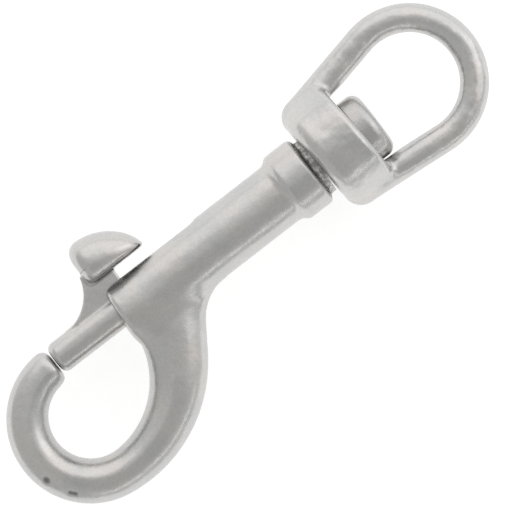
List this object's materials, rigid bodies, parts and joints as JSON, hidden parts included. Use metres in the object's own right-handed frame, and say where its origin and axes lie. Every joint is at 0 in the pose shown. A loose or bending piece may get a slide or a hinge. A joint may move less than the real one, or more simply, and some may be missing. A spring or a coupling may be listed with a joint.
{
  "type": "swivel-eye bolt snap",
  "caption": "Swivel-eye bolt snap: cast hook closed by a sprung thumb bolt, with a ring-shaped eye that turns on a headed pin at the barrel's end.",
  "frame": {"origin": "middle of the part's box in X and Y, at the lowest point of the collar", "axes": "+X along the barrel from the hook to the swivel eye, +Y from the hook's bulge to the thumb lever, +Z across the hook's plane"},
  "size_m": [0.1, 0.0379, 0.0191],
  "materials": {
    "cast_stainless": "tumbled and polished stainless casting, satin with a fine grain",
    "pin_stainless": "satin stainless pin, mottled on its head",
    "spring_steel": "drawn stainless spring wire"
  },
  "bodies": {
    "body": {"hook_body": "cast_stainless", "swivel_pin": "pin_stainless", "bolt_spring": "spring_steel"},
    "bolt": {"bolt": "cast_stainless"},
    "eye": {"swivel_eye": "cast_stainless"}
  },
  "joints": [
    {"name": "bolt_slide", "type": "slide", "parent": "body", "child": "bolt", "axis": [1, 0, 0], "range_m": [0, 0.0139], "stiffness_N_per_m": 400, "springref_m": -0.012, "deforming": ["bolt_spring"]},
    {"name": "eye_swivel", "type": "hinge", "parent": "body", "child": "eye", "pos_m": [0.02161, 0.00474, 0.00955], "axis": [1, 0, 0], "continuous": true}
  ]
}
